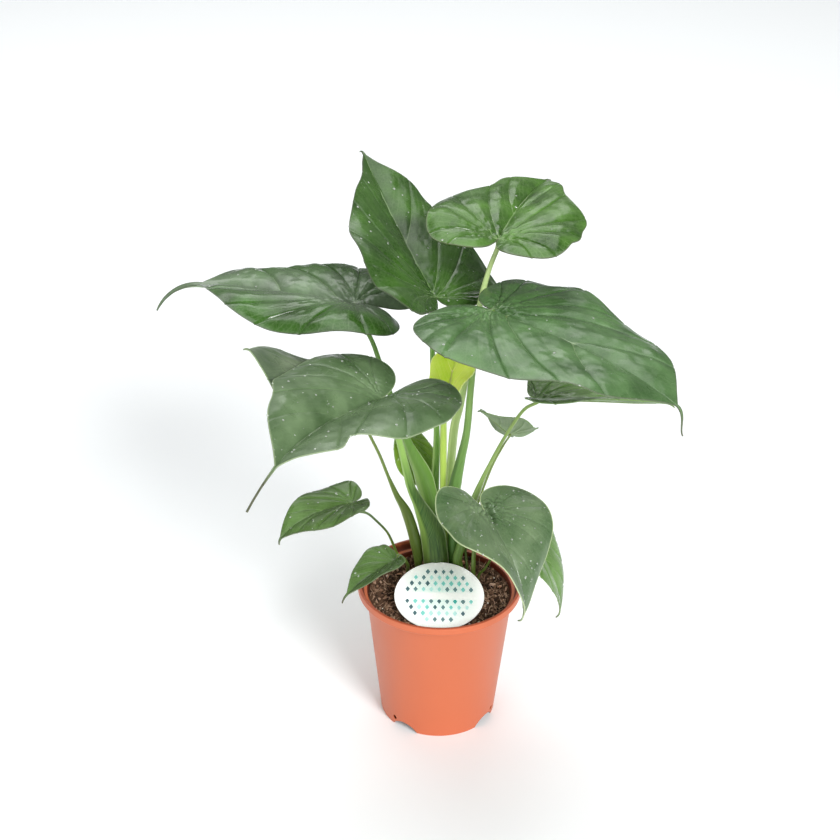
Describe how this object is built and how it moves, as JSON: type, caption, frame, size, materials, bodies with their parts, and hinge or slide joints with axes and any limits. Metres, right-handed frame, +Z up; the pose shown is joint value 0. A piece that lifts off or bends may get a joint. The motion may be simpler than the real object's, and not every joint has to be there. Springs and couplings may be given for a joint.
{
  "type": "potted chinese taro",
  "caption": "Young Chinese taro house plant with heart-shaped leaves on long stalks, in a round plastic nursery pot with a blank round card on the soil.",
  "frame": {"origin": "centre of the pot's underside, on the surface that it stands on", "axes": "+Z up along the pot's axis, -Y towards the side that the label leans to, +X to the right seen from there"},
  "size_m": [0.3673, 0.3515, 0.3934],
  "materials": {
    "pot": "satin",
    "soil": "rough and crumbly",
    "label": "smooth",
    "blade": "waxy satin",
    "petiole": "waxy satin",
    "young_blade": "waxy satin",
    "young_petiole": "waxy satin"
  },
  "bodies": {
    "root": {"pot": "pot", "soil": "soil", "label": "label", "leaf_01_petiole": "petiole", "leaf_01_blade": "blade", "leaf_02_petiole": "petiole", "leaf_02_blade": "blade", "leaf_03_petiole": "petiole", "leaf_03_blade": "blade", "leaf_04_petiole": "petiole", "leaf_04_blade": "blade", "leaf_05_petiole": "petiole", "leaf_05_blade": "blade", "leaf_06_petiole": "petiole", "leaf_06_blade": "blade", "leaf_07_petiole": "petiole", "leaf_07_blade": "blade", "leaf_08_petiole": "petiole", "leaf_08_blade": "blade", "leaf_09_petiole": "petiole", "leaf_09_blade": "blade", "leaf_10_petiole": "petiole", "leaf_10_blade": "blade", "leaf_11_petiole": "petiole", "leaf_11_blade": "blade", "leaf_12_petiole": "petiole", "leaf_12_blade": "blade", "leaf_13_petiole": "petiole", "leaf_13_blade": "blade", "leaf_14_petiole": "young_petiole", "leaf_14_blade": "young_blade"}
  },
  "joints": []
}
